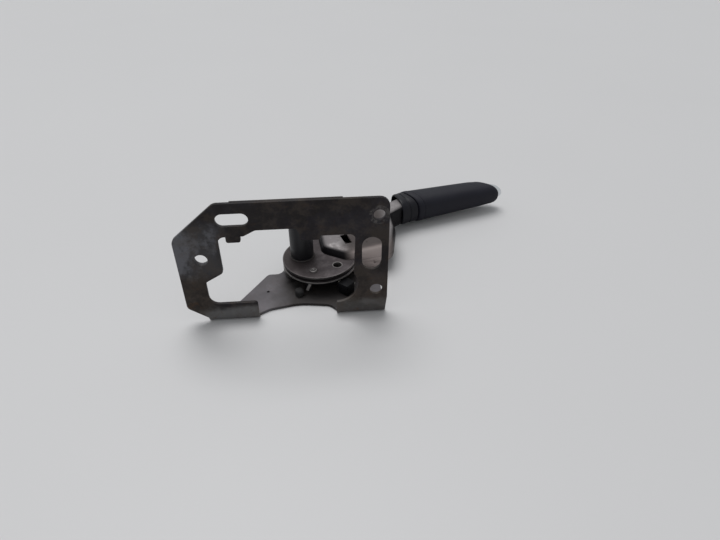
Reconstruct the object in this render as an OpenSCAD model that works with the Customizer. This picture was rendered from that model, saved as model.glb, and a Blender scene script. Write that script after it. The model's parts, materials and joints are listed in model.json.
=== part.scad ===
// Parking brake lever, lying on the side plate of its bracket.
// Origin on the pivot axis at the underside of the side plate, +X along the base plate towards the handle,
// +Y away from the mounting face, +Z along the pivot.

/* [Bracket] */
// Thickness of the bracket sheet
sheet_t = 3; // [2.5:0.1:3.5]
// Inside radius of the bend between base plate and side plate
bend_r = 2; // [1.5:0.5:4]
// Distance from the mounting face to the pivot axis
face_to_pivot = 69.5; // [65:0.5:75]
// Reach of the base plate to the left of the pivot
base_left = 108; // [104:0.5:112]
// Reach of the base plate to the right of the pivot
base_right = 80.5; // [79:0.5:85]
// Height of the base plate
base_h = 127.5; // [125:0.5:134]
// Depth of the lip along the top edge
lip_depth = 4; // [4:0.5:8]
// Radius of the left and lower bolt holes
bolt_r = 6; // [5:0.25:6.5]
// Radius of the upper right bolt hole
corner_bolt_r = 5.25; // [4.5:0.25:5.5]
// Height of the collar behind the left bolt hole
collar_h = 2.5; // [1.5:0.5:4]
// Width of the adjusting slot
slot_w = 12.5; // [10:0.5:14]
// Length of the adjusting slot
slot_len = 28; // [24:0.5:32]
// Width of the oval access hole
oval_w = 18; // [14:0.5:20]
// Height of the oval access hole
oval_h = 35.5; // [30:0.5:40]

/* [Pivot] */
// Diameter of the pivot stud
stud_d = 12; // [10:0.5:13]
// Diameter of the stud's weld flange
stud_flange_d = 28; // [26:0.5:28.5]
// Outside diameter of the pivot sleeve
sleeve_d = 24; // [22:0.5:24.5]
// Wall of the bushes
bush_wall = 2; // [1.5:0.25:2.5]
// Length of a bush inside the sleeve
bush_len = 14; // [10:1:20]
// Height of the sleeve's top above the table
sleeve_top = 74; // [68:0.5:78]
// Height of the lock nut
nut_h = 9; // [7:0.5:10]
// Width of the lock nut across its flats
nut_af = 18; // [17:0.5:20]

/* [Lever] */
// Thickness of the pressed shells
shell_t = 2; // [1.5:0.1:2.4]
// Gap between the two cheeks, the cable groove
groove_w = 4; // [3.5:0.25:4.5]
// Height of the lever's middle plane above the table
lever_z = 20; // [19.5:0.25:21]
// Radius of the round head
head_r = 38; // [36.5:0.5:39.5]
// Depth of the cable groove
groove_depth = 6; // [4:0.5:6.5]
// Height of the hollow arm
arm_h = 26; // [24:0.5:26.5]
// Width of the neck
neck_w = 22; // [21:0.5:23]
// Angle of the arm above the base plate
arm_angle = 37; // [36.5:0.25:37.5]
// Distance from the pivot to the bend under the grip
arm_len = 162.5; // [158:0.5:168]
// Radius of the bore for the cable nipple
nipple_r = 4.5; // [3.5:0.25:5]
// Diameter of the head rivets
rivet_d = 6; // [5:0.5:6.5]

/* [Grip] */
// Angle of the handle above the base plate
handle_angle = 15; // [14.5:0.1:15.5]
// Length of the grip with its rounded tail
grip_len = 118; // [112:0.5:124]
// Half of the grip's depth at the collar
grip_half_w = 19.5; // [19:0.25:20]
// Half of the grip's height at the collar
grip_half_h = 17; // [16.8:0.1:17.5]
// Half of the grip's depth at its tail
tail_half_w = 15.8; // [15:0.2:17]
// Half of the grip's height at its tail
tail_half_h = 13.8; // [13.4:0.2:15]
// Wall of the tube inside the grip
tube_wall = 1.5; // [1:0.25:2]
// Diameter of the push button
button_d = 18; // [16:0.5:18.5]
// How far the push button stands out
button_proud = 9; // [7:0.25:10]
// Travel of the push button
button_travel = 5; // [4:0.25:5.5]
// Diameter of the release rod
rod_d = 3.2; // [3:0.1:3.4]

/* [Ratchet] */
// Swing of the lever from released to fully applied
lever_swing = 48; // [42:1:54]
// Clicks over that swing
clicks = 18; // [12:6:18]
// Radius of the tooth tips
tooth_r = 48; // [46.5:0.25:48.5]
// Height of a tooth
tooth_h = 2.2; // [1.5:0.1:2.5]
// Thickness of the toothed sector
sector_t = 4; // [3:0.25:4.5]
// Height of the sector above the side plate
sector_lift = 3; // [2.5:0.1:3.5]
// Distance from the pivot to the pawl pin
pawl_r = 56; // [55.5:0.25:57]
// Diameter of the pawl pin
pawl_pin_d = 6; // [5:0.25:6.5]
// Length of the pawl arm that the rod moves
pawl_arm = 10; // [9.5:0.25:10.5]

/* [Switch and stop] */
// Side of the square switch block
switch_w = 12; // [11:0.25:13]
// Distance from the pivot to the middle of the switch block
switch_r = 58; // [57:0.25:59]
// Diameter of the switch plunger
plunger_d = 3.4; // [2.5:0.1:3.6]
// Travel of the switch plunger
plunger_travel = 2; // [1:0.25:2.5]
// Diameter of the rubber stop
buffer_d = 9; // [8:0.25:10]

/* [Hidden] */
$fn = 64;

// Clearances
run_fit = 0.05;
seat_fit = 0.03;
face_gap = 0.1;
swell = 0.1;
clear = 0.3;
past = 1;

// Bracket
bend_out = bend_r + sheet_t;
front_y = -face_to_pivot;
foot_y = front_y + bend_out;
left_foot = [-90, -42.5];
right_foot = [32, 79];
foot_h = 21;
right_foot_h = 15;
left_hole = [-86.5, 71.8];
lower_hole = [69.9, 29];
corner_inset = [9, 17];
corner_hole = [base_right - corner_inset[0], base_h - corner_inset[1]];
slot_at = [-54.4, base_h - 16];
oval_at = [65.4, 70.3];
notch_at = [32.5, 36];
notch_r = 20.5;
lip_from = -54.6;
lip_to = 40.3;
lip_rise = 0.4;
pin_hole_at = [-36, -32];
pin_hole_r = 1.6;
rivet_holes_r = 26;
rivet_angles = [8, 52];
sector_rivet_d = 6;

// Pivot stack, from the side plate up
flange_top = 2 * sheet_t;
bush_flange_t = 1.5;
sleeve_bottom = flange_top + face_gap + bush_flange_t;
bush_r = stud_d / 2 + run_fit + bush_wall;
washer_t = 2;
washer_bottom = sleeve_top + bush_flange_t + face_gap;
nut_bottom = washer_bottom + washer_t;
stud_top = nut_bottom + nut_h + 1.5;

// Lever levels
upper_low = lever_z + groove_w / 2;
upper_top = upper_low + shell_t;
lower_top = lever_z - groove_w / 2;
lower_low = lower_top - shell_t;
arm_top = lever_z + arm_h / 2;
arm_low = lever_z - arm_h / 2;
head_at = [17.7, -3.7];
nipple_angle = -43;
nipple_at = head_at + (head_r - 13.5) * [cos(nipple_angle), sin(nipple_angle)];
// Angle of each head rivet and its distance from the rim
rivet_spots = [[-105, 12.3], [129.7, 9.8]];
rivets_at = [for (s = rivet_spots) head_at + (head_r - s[1]) * [cos(s[0]), sin(s[0])]];
rivet_head_r = rivet_d / 2 + 1.5;
rivet_head_t = 1.6;
seam = 0.1;
arm_dir = [cos(arm_angle), sin(arm_angle)];
arm_side = [-sin(arm_angle), cos(arm_angle)];
bend_at = arm_len * arm_dir;
arm_turn = arm_angle - handle_angle;
flat_r = 76;
window_at = [47, 13];
window_angle = 108;
window_size = [17, 8];
neck_back = 7;

// Handle
handle_dir = [cos(handle_angle), sin(handle_angle)];
handle_side = [-sin(handle_angle), cos(handle_angle)];
collar_mouth = -12;
collar_end = -1;
collar_slant = -0.6;
groove_gap = 1;
grip_from = collar_end + groove_gap;
grip_end = grip_from + grip_len;
tail_slope = 0.85;
tail_at = grip_end - 11.4;
button_r = button_d / 2;
button_back = tail_at - 15;
stem_len = 12;
stem_r = 5.5;
tube_end = button_back - button_travel - 3;
tube_d = neck_w - 2 * (shell_t + swell + seat_fit);
spring_room = 28;
seat_at = tube_end - spring_room;
seat_t = 3;
spring_wire = 1.2;
elbow_len = 20;
elbow_bend = 15;
grip_power = 2.6;
oval_points = 32;

// Ratchet
pitch = lever_swing / clicks;
first_tooth = 2.3;
nose_angle = first_tooth + pitch;
pawl_lead = 31;
pawl_angle = nose_angle + pawl_lead;
root_r = tooth_r - tooth_h;
sector_low = sheet_t + sector_lift;
sector_top = sector_low + sector_t;
sector_hole_r = 14.6;
pawl_at = pawl_r * [cos(pawl_angle), sin(pawl_angle)];
pawl_low = sector_low + 0.2;
pawl_top = sector_top - 0.2;
pawl_pin_r = pawl_pin_d / 2;
boss_r = pawl_pin_r + 3;
nose_gap = 0.4;
nose_back = 3.5;
nose_over = 1.5;
half_lift = atan(button_travel / 2 / pawl_arm);
hook_at = pawl_at + pawl_arm * handle_side + button_travel / 2 * handle_dir;
hook_r = rod_d / 2;
hook_bend = 1.5 * rod_d;
rod_bend = 5 * rod_d;

// Switch and stop
switch_angle = -41.6;
switch_top = lower_low - 0.6;
plunger_z = sector_top + 2.2;
plunger_r = plunger_d / 2;
plunger_bore = 6;
tab_out = switch_r - switch_w / 2 - 4.2;
tab_w = 9;
stop_angle = -110;
stop_tab_w = 7;
stop_r = head_r - 1;
stop_tab_at = head_at + stop_r * [cos(stop_angle), sin(stop_angle)];
stop_tab_low = 6.5;
buffer_h = 7;

// Geometry helpers

function unit(v) = v / norm(v);

function cross2(a, b) = a[0] * b[1] - a[1] * b[0];

// Points of the arc that rounds corner b, moved inwards by inset
function corner_arc(a, b, c, r, inset, steps) =
  let (u = unit(a - b),
       v = unit(c - b),
       half = acos(u * v) / 2,
       side = cross2(b - a, c - b) > 0 ? 1 : -1,
       mid = b + unit(u + v) * r / sin(half),
       out = b + u * r / tan(half) - mid,
       start = atan2(out[1], out[0]),
       sweep = side * (180 - 2 * half))
  [for (i = [0:steps])
     let (a = start + sweep * i / steps) mid + (r - side * inset) * [cos(a), sin(a)]];

// An anticlockwise outline from corners given as [x, y, radius]
function outline(corners, inset = 0, steps = 5) =
  let (n = len(corners))
  [for (i = [0:n - 1])
     let (a = corners[(i + n - 1) % n], b = corners[i], c = corners[(i + 1) % n])
     each (b[2] == 0 ? [[b[0], b[1]]]
                     : corner_arc([a[0], a[1]], [b[0], b[1]], [c[0], c[1]], b[2], inset, steps))];

function lift(points, z) = [for (p = points) [p[0], p[1], z]];

function power_oval(w, h, t) =
  [w * sign(cos(t)) * pow(abs(cos(t)), 2 / grip_power), h * sign(sin(t)) * pow(abs(sin(t)), 2 / grip_power)];

// One slanted oval section across the handle: [place, slant, half width, half height]
function section(s) =
  [for (i = [0:oval_points - 1])
     let (p = power_oval(s[2], s[3], 360 * (i + 0.5) / oval_points)) [s[0] + s[1] * p[0], p[0], p[1]]];

// A closed solid through rings with the same number of points
module loft(rings) {
  n = len(rings[0]);
  last = len(rings) - 1;
  sides = [for (i = [0:last - 1], j = [0:n - 1])
             [i * n + j, (i + 1) * n + j, (i + 1) * n + (j + 1) % n, i * n + (j + 1) % n]];
  foot = [for (j = [0:n - 1]) j];
  cap = [for (j = [n - 1:-1:0]) last * n + j];
  polyhedron(points = [for (r = rings) each r], faces = concat([foot], sides, [cap]));
}

// A round wire wound along +Z
module coil(mean_r, wire, height, turns) {
  steps = 14;
  sides = 6;
  loft([for (i = [0:steps * turns])
          let (a = 360 * i / steps, z = wire / 2 + (height - wire) * i / (steps * turns))
          [for (k = [0:sides - 1])
             let (r = mean_r + wire / 2 * cos(-360 * k / sides))
             [r * cos(a), r * sin(a), z + wire / 2 * sin(-360 * k / sides)]]]);
}

module tube(r_out, r_in, h) {
  difference() {
    cylinder(r = r_out, h = h);
    translate([0, 0, -past]) cylinder(r = r_in, h = h + 2 * past);
  }
}

module at(p, z = 0) {
  translate([p[0], p[1], z]) children();
}

module hole(p, r) {
  at(p, -past) cylinder(r = r, h = stud_top + 2 * past);
}

module upright_slot(w, h) {
  for (s = [-1, 1]) translate([0, s * (h - w) / 2]) circle(d = w);
  square([w, h - w], center = true);
}

// Plan outline drawn on the base plate: X stays, the outline's Y becomes height
module on_base(depth) {
  translate([0, front_y + depth, 0]) rotate([90, 0, 0]) linear_extrude(depth) children();
}

module in_handle() {
  translate([bend_at[0], bend_at[1], lever_z]) rotate([0, 0, handle_angle]) children();
}

module along_handle(from) {
  in_handle() translate([from, 0, 0]) rotate([0, 90, 0]) children();
}

// Bracket

module base_outline() {
  polygon(outline([[left_foot[0], bend_out, 0], [left_foot[1], bend_out, 0], [right_foot[0], bend_out, 0],
                   [right_foot[1], bend_out, 0], [base_right, bend_out + 14, 6], [base_right, base_h, 9],
                   [-68, base_h, 9], [-base_left, base_h - 34, 9], [-base_left, 18, 6]]));
}

module base_opening() {
  polygon(outline([[left_foot[1], -past, 0], [right_foot[0], -past, 0], [right_foot[0], right_foot_h, 3],
                   [48.9, right_foot_h + 12, 8], [48.9, 46, 6], [50.7, base_h - 35.5, 5],
                   [3, base_h - 35.5, 2], [-1, base_h - 27, 2], [-36, base_h - 27, 5],
                   [-46.5, base_h - 32.5, 4], [-69, base_h - 32.5, 6], [-69, 57, 5], [-86.3, 47, 4],
                   [-86.3, foot_h, 9], [left_foot[1], foot_h, 3]]));
  translate(notch_at) circle(r = notch_r);
}

module base_tabs() {
  polygon(outline([[-61.9, base_h - 38.5, 2], [-49.3, base_h - 38.5, 2], [-49.3, base_h - 26.5, 0],
                   [-61.9, base_h - 26.5, 0]]));
  polygon(outline([[1.7, base_h - 39.5, 2.5], [19.7, base_h - 39.5, 2.5], [19.7, base_h - 28.5, 0],
                   [1.7, base_h - 28.5, 0]]));
}

module base_plate() {
  on_base(sheet_t) difference() {
    union() {
      difference() {
        base_outline();
        base_opening();
      }
      base_tabs();
    }
    translate(slot_at) rotate(90) upright_slot(slot_w, slot_len);
    translate(oval_at) upright_slot(oval_w, oval_h);
  }
  translate([left_hole[0], front_y, left_hole[1]]) rotate([-90, 0, 0])
    cylinder(r = bolt_r + 3, h = sheet_t + collar_h);
}

module base_drill(p, r) {
  translate([p[0], front_y - past, p[1]]) rotate([-90, 0, 0])
    cylinder(r = r, h = sheet_t + collar_h + 2 * past);
}

module foot_bend(span) {
  translate([span[0], foot_y, bend_out]) rotate([0, 90, 0]) intersection() {
    tube(bend_out, bend_r, span[1] - span[0]);
    translate([0, -bend_out, 0]) cube([bend_out, bend_out, span[1] - span[0]]);
  }
}

module top_lip() {
  translate([lip_from, front_y, base_h + lip_rise - sheet_t]) {
    translate([0, sheet_t, 0]) rotate([0, 90, 0]) intersection() {
      cylinder(r = sheet_t, h = lip_to - lip_from);
      translate([-sheet_t, -sheet_t, 0]) cube([sheet_t, sheet_t, lip_to - lip_from]);
    }
    translate([0, sheet_t, 0]) cube([lip_to - lip_from, lip_depth - sheet_t, sheet_t]);
    translate([0, 0, -2 * sheet_t]) cube([lip_to - lip_from, sheet_t, 2 * sheet_t]);
  }
}

module side_plate() {
  front = foot_y - 0.01;
  linear_extrude(sheet_t) polygon(outline([
    [left_foot[0] + 4, front, 0], [left_foot[1], front, 0], [-33, front + 6, 12], [-4, front + 12, 50],
    [26, front + 7.5, 12], [right_foot[0], front, 0], [right_foot[1], front, 0],
    [right_foot[1], 22, 14], [42, 52, 16], [-10, 52, 8], [-19, 10.6, 6], [-23, -3.2, 8], [-37.2, -3, 5],
    [-64, -46, 8]]));
}

module mounting_bracket() {
  color([0.24, 0.22, 0.21]) difference() {
    union() {
      base_plate();
      foot_bend(left_foot);
      foot_bend(right_foot);
      top_lip();
      side_plate();
    }
    base_drill(left_hole, bolt_r);
    base_drill(lower_hole, bolt_r);
    base_drill(corner_hole, corner_bolt_r);
    hole(pin_hole_at, pin_hole_r);
    for (a = rivet_angles) hole(rivet_holes_r * [cos(a), sin(a)], sector_rivet_d / 2 + seat_fit);
  }
}

// Pivot

module pivot_stud() {
  color([0.6, 0.6, 0.62]) {
    at([0, 0], sheet_t) cylinder(d = stud_flange_d, h = flange_top - sheet_t);
    at([0, 0], flange_top) cylinder(d = stud_d, h = stud_top - flange_top - 1);
    at([0, 0], stud_top - 1) cylinder(d1 = stud_d, d2 = stud_d - 2, h = 1);
  }
}

module pivot_washer() {
  color([0.65, 0.65, 0.66]) at([0, 0], washer_bottom) tube(sleeve_d / 2, stud_d / 2 + 0.2, washer_t);
}

module lock_nut() {
  nut_r = nut_af / 2 / cos(30);
  color([0.7, 0.7, 0.68]) difference() {
    union() {
      at([0, 0], nut_bottom) cylinder(r = nut_r, h = nut_h - 2, $fn = 6);
      at([0, 0], nut_bottom + nut_h - 2) cylinder(d1 = nut_af, d2 = nut_af - 3, h = 2);
    }
    hole([0, 0], stud_d / 2 + seat_fit);
  }
}

// Ratchet

module sector_outline() {
  count = clicks + 3;
  ends = [first_tooth - 6, first_tooth + pitch * count + 5];
  difference() {
    union() {
      polygon(concat([[0, 0], root_r * [cos(ends[0]), sin(ends[0])]],
        [for (i = [0:count - 1])
           let (a = first_tooth + pitch * i, b = a + pitch - 0.25)
           each [root_r * [cos(a), sin(a)], tooth_r * [cos(b), sin(b)]]],
        [let (a = first_tooth + pitch * count) root_r * [cos(a), sin(a)],
         root_r * [cos(ends[1]), sin(ends[1])]]));
      circle(r = sector_hole_r + 6);
    }
    circle(r = sector_hole_r);
    for (a = rivet_angles)
      translate(rivet_holes_r * [cos(a), sin(a)]) circle(d = sector_rivet_d + 2 * seat_fit);
  }
}

module ratchet_sector() {
  color([0.45, 0.44, 0.44]) at([0, 0], sector_low) linear_extrude(sector_t) sector_outline();
}

module sector_rivets() {
  head_t = 1.6;
  color([0.5, 0.5, 0.5]) for (a = rivet_angles) at(rivet_holes_r * [cos(a), sin(a)]) {
    translate([0, 0, 0.2]) cylinder(d = sector_rivet_d, h = sector_top);
    translate([0, 0, sheet_t]) cylinder(d = sector_rivet_d + 4, h = sector_lift);
    translate([0, 0, sector_top]) cylinder(d1 = sector_rivet_d + 4, d2 = sector_rivet_d + 1, h = head_t);
  }
}

// The pawl: a boss on its pin, a nose in the teeth and an arm for the rod
module pawl() {
  arm_side_angle = handle_angle + 90 - half_lift;
  slot_r = hook_r + 0.25;
  tip = [for (s = [[root_r + nose_gap, 0.25], [tooth_r + nose_back, -0.5], [tooth_r + nose_over, 2.6],
                   [root_r + 2.5 * nose_gap, 0.8]])
           s[0] * [cos(nose_angle + s[1]), sin(nose_angle + s[1])]];
  color([0.5, 0.5, 0.52]) at([0, 0], pawl_low) linear_extrude(pawl_top - pawl_low) difference() {
    union() {
      translate(pawl_at) circle(r = boss_r);
      polygon([tip[0], tip[1], pawl_at + (boss_r - 1) * handle_dir, pawl_at - (boss_r - 1) * handle_dir,
               tip[2], tip[3]]);
      translate(pawl_at) rotate(arm_side_angle) {
        translate([0, -hook_r - 2]) square([pawl_arm + 1, 2 * hook_r + 4]);
        translate([pawl_arm + 1, 0]) circle(r = hook_r + 2);
      }
    }
    translate(pawl_at) circle(r = pawl_pin_r + run_fit);
    translate(pawl_at) rotate(arm_side_angle) {
      for (x = [-0.6, 0.9]) translate([pawl_arm + x, 0]) circle(r = slot_r);
      translate([pawl_arm - 0.6, -slot_r]) square([1.5, 2 * slot_r]);
    }
  }
}

module pawl_pin() {
  color([0.62, 0.62, 0.6]) at(pawl_at) {
    translate([0, 0, pawl_low - 1.7]) cylinder(r = pawl_pin_r + 2, h = 1.5);
    translate([0, 0, pawl_low - 0.3]) cylinder(r = pawl_pin_r, h = lower_top + 1.2 - pawl_low);
    translate([0, 0, pawl_top + 0.2]) cylinder(r = pawl_pin_r + 1.5, h = lower_low - pawl_top - 0.2);
    translate([0, 0, lower_top]) cylinder(r1 = pawl_pin_r + 1.5, r2 = pawl_pin_r, h = 1.2);
  }
}

module pawl_spring() {
  wire = 1;
  color([0.55, 0.55, 0.57]) at(pawl_at, pawl_top + 0.3)
    coil(pawl_pin_r + 1.5 + 0.2 + wire / 2, wire, lower_low - pawl_top - 0.6, 4);
}

// Lever shells

// Plan corners of the broad arm, without the neck
arm_corners = [[17, 33, 12], [20, 1.5, 12], [46, -14, 14], [97, 1, 14], [104, 36, 16], [103, 68, 14],
               [94, 86, 12]];

function neck_corners() =
  let (w = neck_w / 2, from = 90, to = arm_len + 4)
  [for (p = [[from, -w], [to, -w], [to, w], [from, w]])
     let (q = p[0] * arm_dir + p[1] * arm_side) [q[0], q[1], w - 1.5]];

// Steps of the rounded edge: how far in, and how far below the flat top
edge_steps = [[9, 0], [5.6, 0.7], [3, 2.2], [1.3, 4.6], [0.3, 8]];
neck_steps = [[6, 0], [3.4, 0.7], [1.6, 2.4], [0.6, 5]];

// Rings of one half of the arm, from the seam out to its flat top, for one skin
function half_rings(corners, steps, skin, flip) =
  let (top = arm_h / 2 - skin,
       base = lift(outline(corners, skin), flip ? lever_z - seam : lever_z + seam),
       rise = [for (i = [len(steps) - 1:-1:0])
                 let (h = top - steps[i][1])
                 lift(outline(corners, steps[i][0] + skin), flip ? lever_z - h : lever_z + h)],
       all = concat([base], rise))
  flip ? [for (i = [len(all) - 1:-1:0]) all[i]] : all;

module half_arm(skin, flip) {
  loft(half_rings(arm_corners, edge_steps, skin, flip));
  loft(half_rings(neck_corners(), neck_steps, skin, flip));
}

module neck_trim() {
  in_handle() rotate([0, 0, arm_turn]) translate([-neck_back, -neck_w, -arm_h])
    cube([2 * neck_w, 2 * neck_w, 2 * arm_h]);
}

module groove_zone() {
  at(head_at, lower_top) cylinder(r = head_r + past, h = groove_w);
}

module upper_shell() {
  color([0.47, 0.45, 0.44]) difference() {
    union() {
      at(head_at, upper_low) cylinder(r = head_r, h = shell_t);
      difference() {
        half_arm(0, false);
        translate([0, 0, -seam]) half_arm(shell_t, false);
        groove_zone();
      }
    }
    neck_trim();
    hole([0, 0], sleeve_d / 2 + seat_fit);
    hole(nipple_at, nipple_r);
    for (p = rivets_at) hole(p, rivet_d / 2 + seat_fit);
    at(window_at, upper_top + past) rotate([0, 0, window_angle])
      translate([-window_size[0] / 2, -window_size[1] / 2, 0]) cube([window_size[0], window_size[1], arm_h]);
  }
}

module stop_tab() {
  at(head_at) rotate([0, 0, stop_angle]) translate([stop_r - shell_t, -stop_tab_w / 2, stop_tab_low])
    cube([shell_t, stop_tab_w, lower_low - stop_tab_low + shell_t / 2]);
}

module switch_tab() {
  tab_low = sector_top + 0.6;
  rotate([0, 0, switch_angle]) translate([tab_out - shell_t, -tab_w / 2, tab_low])
    cube([shell_t, tab_w, lower_low - tab_low + shell_t / 2]);
}

module lower_shell() {
  hook_run = hook_at - button_travel / 2 * handle_dir;
  lean = hook_bend / 2 * unit(bend_at - hook_at);
  color([0.42, 0.4, 0.4]) difference() {
    union() {
      at(head_at, lower_low) cylinder(r = head_r, h = shell_t);
      difference() {
        half_arm(0, true);
        difference() {
          translate([0, 0, seam]) half_arm(shell_t, true);
          cylinder(r = flat_r + shell_t, h = lower_top);
        }
        translate([0, 0, -past]) cylinder(r = flat_r, h = lower_low + past);
        groove_zone();
      }
      stop_tab();
      switch_tab();
    }
    neck_trim();
    hole([0, 0], sleeve_d / 2 + seat_fit);
    for (p = rivets_at) hole(p, rivet_d / 2 + seat_fit);
    hole(pawl_at, pawl_pin_r + seat_fit);
    for (p = [hook_run, hook_run + lean]) at(p, lower_low - past) rotate([0, 0, handle_angle + 90])
      linear_extrude(shell_t + 2 * past) upright_slot(2 * hook_r + 1, 2 * hook_r + 1 + button_travel);
  }
}

module quadrant_core() {
  cable_dir = unit(nipple_at - head_at) + [0.9, -0.9];
  color([0.35, 0.34, 0.34]) difference() {
    at(head_at, lower_top) cylinder(r = head_r - groove_depth, h = groove_w);
    hole([0, 0], sleeve_d / 2 + seat_fit);
    hole(nipple_at, nipple_r);
    for (p = rivets_at) hole(p, rivet_d / 2 + seat_fit);
    at(nipple_at, lower_top + groove_w / 2 - 1.5) rotate([0, 0, atan2(cable_dir[1], cable_dir[0])])
      translate([0, -1.5, 0]) cube([head_r, 3, 3]);
  }
}

module quadrant_rivets() {
  color([0.55, 0.53, 0.52]) for (p = rivets_at) at(p) {
    translate([0, 0, lower_low - rivet_head_t])
      cylinder(r1 = rivet_d / 2, r2 = rivet_head_r, h = rivet_head_t);
    translate([0, 0, lower_low]) cylinder(d = rivet_d, h = upper_top - lower_low);
    translate([0, 0, upper_top]) difference() {
      cylinder(r1 = rivet_head_r, r2 = rivet_head_r - 1, h = rivet_head_t);
      translate([0, 0, rivet_head_t / 2]) cylinder(d = rivet_d / 2, h = rivet_head_t);
    }
  }
}

module pivot_sleeve() {
  color([0.1, 0.1, 0.12])
    at([0, 0], sleeve_bottom) tube(sleeve_d / 2, bush_r + seat_fit, sleeve_top - sleeve_bottom);
}

module flanged_bush() {
  difference() {
    union() {
      translate([0, 0, -bush_flange_t]) cylinder(r = sleeve_d / 2 - 0.5, h = bush_flange_t);
      cylinder(r = bush_r, h = bush_len);
    }
    translate([0, 0, -bush_flange_t - past])
      cylinder(d = stud_d + 2 * run_fit, h = bush_len + bush_flange_t + 2 * past);
  }
}

module lower_bush() {
  color([0.6, 0.48, 0.3]) at([0, 0], sleeve_bottom) flanged_bush();
}

module upper_bush() {
  color([0.6, 0.48, 0.3]) at([0, 0], sleeve_top) mirror([0, 0, 1]) flanged_bush();
}

// Handle

// A pressed bend, a little thicker than the straight bar on both sides of it
module bar_bend(r, bend, turn) {
  rotate_extrude(angle = turn) translate([bend, 0]) circle(r = r + swell);
}

// The bar that runs down the handle, bends at the foot of the grip and runs on for a while
module bent_bar(r, bend, turn, from, length) {
  t = bend * tan(turn / 2);
  in_handle() {
    translate([t - swell, 0, 0]) rotate([0, 90, 0]) cylinder(r = r, h = from - t + swell);
    translate([t, -bend, 0]) rotate([0, 0, 90]) bar_bend(r, bend, turn);
    rotate([0, 0, turn]) translate([swell - t, 0, 0]) rotate([0, -90, 0])
      cylinder(r = r, h = length - t + swell);
  }
}

module handle_tube() {
  color([0.5, 0.48, 0.47]) difference() {
    bent_bar(tube_d / 2, elbow_bend, arm_turn, tube_end, elbow_len);
    bent_bar(tube_d / 2 - tube_wall, elbow_bend, arm_turn, tube_end + past, elbow_len + past);
  }
}

module tube_bore() {
  bent_bar(tube_d / 2 + seat_fit, elbow_bend, arm_turn, tube_end, elbow_len);
}

// A slanted ring that hides the end of the neck
module grip_collar() {
  w = grip_half_w - 1;
  h = grip_half_h - 1;
  wall = 1.6;
  floor_t = 3;
  color([0.15, 0.15, 0.18]) difference() {
    in_handle() difference() {
      loft([section([collar_mouth, collar_slant, w - 1.2, h - 1.2]),
            section([collar_mouth + 1.5, collar_slant, w, h]),
            section([collar_end - 1.5, collar_slant, w + 0.2, h + 0.2]),
            section([collar_end, collar_slant, w - 0.8, h - 0.8])]);
      loft([section([collar_mouth - past, collar_slant, w - wall, h - wall]),
            section([collar_end - floor_t, collar_slant, w - wall, h - wall])]);
    }
    tube_bore();
  }
}

// One section of the tapered grip, drawn in by a little at its ends
function grip_ring(place, slant, trim_w, trim_h) =
  let (share = (place - grip_from) / (tail_at - grip_from))
  section([place, slant, grip_half_w + share * (tail_half_w - grip_half_w) - trim_w,
           grip_half_h + share * (tail_half_h - grip_half_h) - trim_h]);

module grip() {
  e = tail_at;
  color([0.13, 0.13, 0.16]) difference() {
    in_handle() difference() {
      loft([grip_ring(grip_from, collar_slant, 1.8, 1.6), grip_ring(grip_from + 0.8, collar_slant, 0.6, 0.5),
            grip_ring(grip_from + 3, collar_slant, 0, 0), grip_ring(grip_from + 34, collar_slant / 2, 0, 0),
            grip_ring(e - 40, 0, 0, 0), grip_ring(e - 22, -0.2, 0.2, 0.2), grip_ring(e - 8, -0.6, 0.5, 0.4),
            grip_ring(e - 3.5, -0.78, 1.2, 1), grip_ring(e - 1.2, -tail_slope, 2.6, 2.3),
            grip_ring(e - 0.2, -tail_slope, 4.6, 4), grip_ring(e, -tail_slope, 6, 5.2)]);
      rotate([0, 90, 0]) cylinder(r = stem_r + 1, h = grip_end);
      translate([button_back - button_travel - 1, 0, 0]) rotate([0, 90, 0])
        cylinder(r = button_r + clear, h = grip_len);
    }
    tube_bore();
  }
}

module push_button() {
  slope_angle = atan(tail_slope);
  color([0.85, 0.85, 0.87]) {
    along_handle(button_back - stem_len) cylinder(r = stem_r, h = stem_len + past);
    difference() {
      along_handle(button_back) cylinder(r = button_r, h = grip_end - button_back + 10);
      in_handle() translate([tail_at + button_proud, 0, 0]) rotate([0, 0, slope_angle])
        translate([0, -grip_len / 2, -grip_len / 2]) cube(grip_len);
    }
  }
}

module release_rod() {
  run = hook_at - bend_at;
  run_angle = atan2(run[1], run[0]);
  turn = run_angle + 180 - handle_angle;
  color([0.6, 0.6, 0.6]) {
    bent_bar(hook_r, rod_bend, turn, button_back - stem_len, norm(run) - hook_bend + swell);
    at(hook_at, lever_z) rotate([0, 0, run_angle]) translate([-hook_bend, 0, -hook_bend]) rotate([90, 0, 0])
      bar_bend(hook_r, hook_bend, 90);
    at(hook_at, pawl_low - 0.5) cylinder(r = hook_r, h = lever_z - hook_bend - pawl_low + 0.5 + swell);
  }
}

module spring_seat() {
  color([0.3, 0.3, 0.3]) along_handle(seat_at)
    tube(tube_d / 2 - tube_wall - seat_fit, rod_d / 2 + 0.6, seat_t);
}

module button_spring() {
  color([0.6, 0.6, 0.62]) along_handle(seat_at + seat_t + 0.1)
    coil(stem_r - spring_wire / 2 - 0.3, spring_wire, button_back - stem_len - seat_at - seat_t - 0.2, 7);
}

// Switch and stop

module on_switch() {
  rotate([0, 0, switch_angle]) translate([switch_r, 0, 0]) children();
}

module switch_body() {
  w = switch_w;
  color([0.06, 0.06, 0.07]) on_switch() difference() {
    translate([0, 0, sheet_t]) linear_extrude(switch_top - sheet_t)
      polygon(outline([[-w / 2, -w / 2, 1], [w / 2, -w / 2, 1], [w / 2, w / 2, 1], [-w / 2, w / 2, 1]]));
    translate([-w / 2 - past, 0, plunger_z]) rotate([0, 90, 0])
      cylinder(r = plunger_r + run_fit, h = plunger_bore + past);
  }
}

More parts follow.
